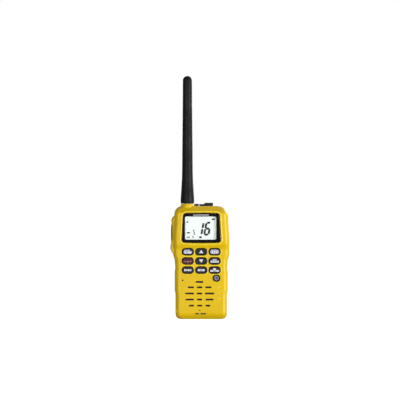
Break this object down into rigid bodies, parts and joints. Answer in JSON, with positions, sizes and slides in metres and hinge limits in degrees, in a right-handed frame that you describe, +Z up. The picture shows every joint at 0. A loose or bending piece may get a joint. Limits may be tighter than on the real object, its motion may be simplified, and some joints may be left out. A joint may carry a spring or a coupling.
{
  "type": "handheld radio",
  "caption": "Floating handheld two-way radio: yellow and black shell, display, rubber keypad, side talk button, screw-in whip antenna, sliding battery pack and sprung belt clip",
  "frame": {"origin": "centre of the flat base on which the radio stands", "axes": "+Z up along the body and antenna, -Y the front with the display, +X to the right in the front view"},
  "size_m": [0.0681, 0.0452, 0.2807],
  "materials": {
    "yellow_plastic": "satin moulded",
    "black_plastic": "fine texture",
    "gloss_black": "gloss",
    "clear_window": "clear",
    "lcd_glass": "satin",
    "backlight": "satin",
    "key_black": "matte",
    "key_red": "matte",
    "rubber": "matte",
    "seal_rubber": "matte",
    "grey_silicone": "matte",
    "circuit_board": "satin",
    "tinned_steel": "bright",
    "dark_steel": "blackened",
    "spring_steel": "bright",
    "brass": "plated",
    "magnet": "plain",
    "paper_cone": "matte",
    "acoustic_cloth": "woven",
    "cell_wrap": "shrink wrap"
  },
  "bodies": {
    "radio": {"front_case": "yellow_plastic", "rear_case": "black_plastic", "case_seal": "seal_rubber", "case_screw_1": "dark_steel", "case_screw_2": "dark_steel", "case_screw_3": "dark_steel", "case_screw_4": "dark_steel", "lens_bezel": "gloss_black", "display_window": "clear_window", "lcd_panel": "lcd_glass", "lcd_backlight": "backlight", "keypad_mat": "grey_silicone", "keypad_board": "circuit_board", "main_board": "circuit_board", "rf_shield": "tinned_steel", "speaker_cloth": "acoustic_cloth", "speaker_frame": "tinned_steel", "speaker_cone": "paper_cone", "speaker_magnet": "magnet", "mic_boot": "grey_silicone", "microphone": "tinned_steel", "ptt_switch": "gloss_black", "antenna_socket": "brass", "speaker_jack": "brass", "mic_jack": "brass", "jack_cover_anchor": "rubber", "jack_cover_screw": "dark_steel", "radio_contact_plus": "brass", "radio_contact_minus": "brass", "clip_base": "black_plastic", "clip_pin": "tinned_steel", "clip_spring": "spring_steel", "clip_screw_left": "dark_steel", "clip_screw_right": "dark_steel"},
    "antenna_seal_ring": {"antenna_seal": "seal_rubber"},
    "antenna": {"antenna_sheath": "rubber", "antenna_core": "brass", "antenna_plug": "brass"},
    "jack_cover_flap": {"jack_cover": "rubber"},
    "battery_pack": {"battery_case": "black_plastic", "battery_lid": "black_plastic", "battery_pad_plus": "brass", "battery_pad_minus": "brass", "battery_cell_1": "cell_wrap", "battery_cell_2": "cell_wrap", "battery_board": "circuit_board", "latch_spring": "spring_steel"},
    "battery_latch_slider": {"battery_latch": "black_plastic"},
    "clip_lever": {"clip_arm": "black_plastic"},
    "ptt_pad": {"ptt_button": "rubber"},
    "power_cap": {"power_key": "key_black"},
    "key_call_cap": {"key_call": "key_black"},
    "key_up_cap": {"key_up": "key_black"},
    "key_light_cap": {"key_light": "key_black"},
    "key_distress_cap": {"key_distress": "key_red"},
    "key_down_cap": {"key_down": "key_black"},
    "key_weather_cap": {"key_weather": "key_black"},
    "key_scan_cap": {"key_scan": "key_black"},
    "key_memory_cap": {"key_memory": "key_black"},
    "key_lock_cap": {"key_lock": "key_black"}
  },
  "joints": [
    {"name": "key_call_press", "type": "slide", "parent": "radio", "child": "key_call_cap", "axis": [0, 1, 0], "range_m": [0, 0.0008], "stiffness_N_per_m": 1200},
    {"name": "key_up_press", "type": "slide", "parent": "radio", "child": "key_up_cap", "axis": [0, 1, 0], "range_m": [0, 0.0008], "stiffness_N_per_m": 1200},
    {"name": "key_light_press", "type": "slide", "parent": "radio", "child": "key_light_cap", "axis": [0, 1, 0], "range_m": [0, 0.0008], "stiffness_N_per_m": 1200},
    {"name": "key_distress_press", "type": "slide", "parent": "radio", "child": "key_distress_cap", "axis": [0, 1, 0], "range_m": [0, 0.0008], "stiffness_N_per_m": 1200},
    {"name": "key_down_press", "type": "slide", "parent": "radio", "child": "key_down_cap", "axis": [0, 1, 0], "range_m": [0, 0.0008], "stiffness_N_per_m": 1200},
    {"name": "key_weather_press", "type": "slide", "parent": "radio", "child": "key_weather_cap", "axis": [0, 1, 0], "range_m": [0, 0.0008], "stiffness_N_per_m": 1200},
    {"name": "key_scan_press", "type": "slide", "parent": "radio", "child": "key_scan_cap", "axis": [0, 1, 0], "range_m": [0, 0.0008], "stiffness_N_per_m": 1200},
    {"name": "key_memory_press", "type": "slide", "parent": "radio", "child": "key_memory_cap", "axis": [0, 1, 0], "range_m": [0, 0.0008], "stiffness_N_per_m": 1200},
    {"name": "key_lock_press", "type": "slide", "parent": "radio", "child": "key_lock_cap", "axis": [0, 1, 0], "range_m": [0, 0.0008], "stiffness_N_per_m": 1200},
    {"name": "power_key_press", "type": "slide", "parent": "radio", "child": "power_cap", "axis": [0, 1, 0], "range_m": [0, 0.0008], "stiffness_N_per_m": 1200},
    {"name": "ptt_press", "type": "slide", "parent": "radio", "child": "ptt_pad", "axis": [1, 0, 0], "range_m": [0, 0.0012], "stiffness_N_per_m": 1500},
    {"name": "antenna_lift", "type": "slide", "parent": "radio", "child": "antenna_seal_ring", "axis": [0, 0, 1], "range_m": [0, 0.0035]},
    {"name": "antenna_unscrew", "type": "hinge", "parent": "antenna_seal_ring", "child": "antenna", "pos_m": [-0.0159, -0.0035, 0.1332], "axis": [0, 0, 1], "range_deg": [0, 1800]},
    {"name": "jack_cover_open", "type": "hinge", "parent": "radio", "child": "jack_cover_flap", "pos_m": [-0.00245, 0.0081, 0.1327], "axis": [0, -1, 0], "range_deg": [0, 100], "stiffness_Nm_per_rad": 0.004},
    {"name": "battery_slide", "type": "slide", "parent": "radio", "child": "battery_pack", "axis": [0, 0, -1], "range_m": [0, 0.075]},
    {"name": "battery_latch_slide", "type": "slide", "parent": "battery_pack", "child": "battery_latch_slider", "axis": [0, 0, 1], "range_m": [0, 0.0025], "stiffness_N_per_m": 300, "deforming": ["latch_spring"]},
    {"name": "clip_open", "type": "hinge", "parent": "radio", "child": "clip_lever", "pos_m": [0, 0.0204, 0.113], "axis": [1, 0, 0], "range_deg": [0, 22], "stiffness_Nm_per_rad": 0.15, "springref_deg": -11.46}
  ],
  "couplings": [
    {"joint": "antenna_unscrew", "follows": "antenna_lift", "rad_per_m": 8904.7}
  ]
}
